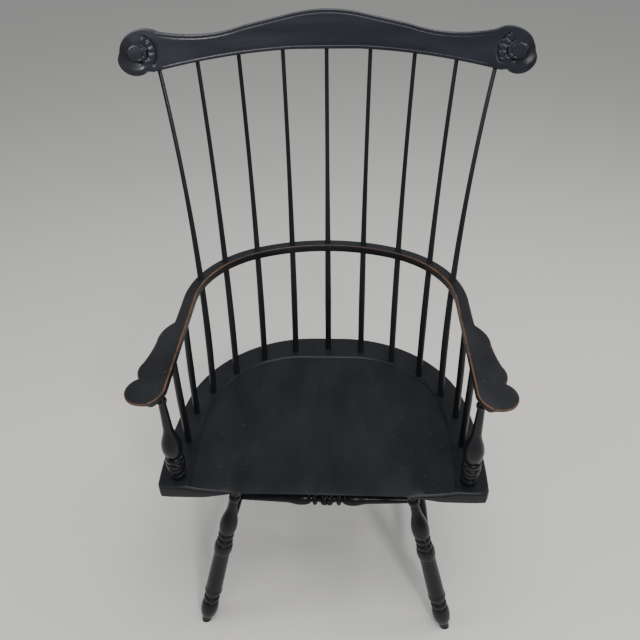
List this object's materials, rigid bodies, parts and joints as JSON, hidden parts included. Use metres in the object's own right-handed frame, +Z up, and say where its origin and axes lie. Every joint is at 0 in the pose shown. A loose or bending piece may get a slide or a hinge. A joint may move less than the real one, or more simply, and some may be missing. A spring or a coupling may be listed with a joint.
{
  "type": "comb-back windsor armchair",
  "caption": "Comb-back Windsor armchair with a saddled plank seat, tall spindle back under a bent crest with carved ears, a bent arm rail with shaped hands, and turned splayed legs.",
  "frame": {"origin": "on the floor under the middle of the chair's bounding box", "axes": "+Z up, the chair faces -Y, +X to the right as seen from the front"},
  "size_m": [0.7168, 0.5509, 1.1378],
  "materials": {
    "black_paint": "satin black paint over wood",
    "rubbed_paint": "black paint worn through to brown wood at the edges"
  },
  "bodies": {
    "root": {"seat": "black_paint", "leg_front_left": "black_paint", "leg_front_right": "black_paint", "leg_rear_left": "black_paint", "leg_rear_right": "black_paint", "leg_wedges": "black_paint", "side_stretcher_left": "black_paint", "side_stretcher_right": "black_paint", "medial_stretcher": "black_paint", "arm_rail": "rubbed_paint", "hand_left": "rubbed_paint", "hand_right": "rubbed_paint", "arm_post_left": "black_paint", "arm_post_right": "black_paint", "long_spindle_1": "black_paint", "long_spindle_2": "black_paint", "long_spindle_3": "black_paint", "long_spindle_4": "black_paint", "long_spindle_5": "black_paint", "long_spindle_6": "black_paint", "long_spindle_7": "black_paint", "long_spindle_8": "black_paint", "long_spindle_9": "black_paint", "short_spindle_front_left": "black_paint", "short_spindle_front_right": "black_paint", "short_spindle_rear_left": "black_paint", "short_spindle_rear_right": "black_paint", "crest_rail": "black_paint"}
  },
  "joints": []
}
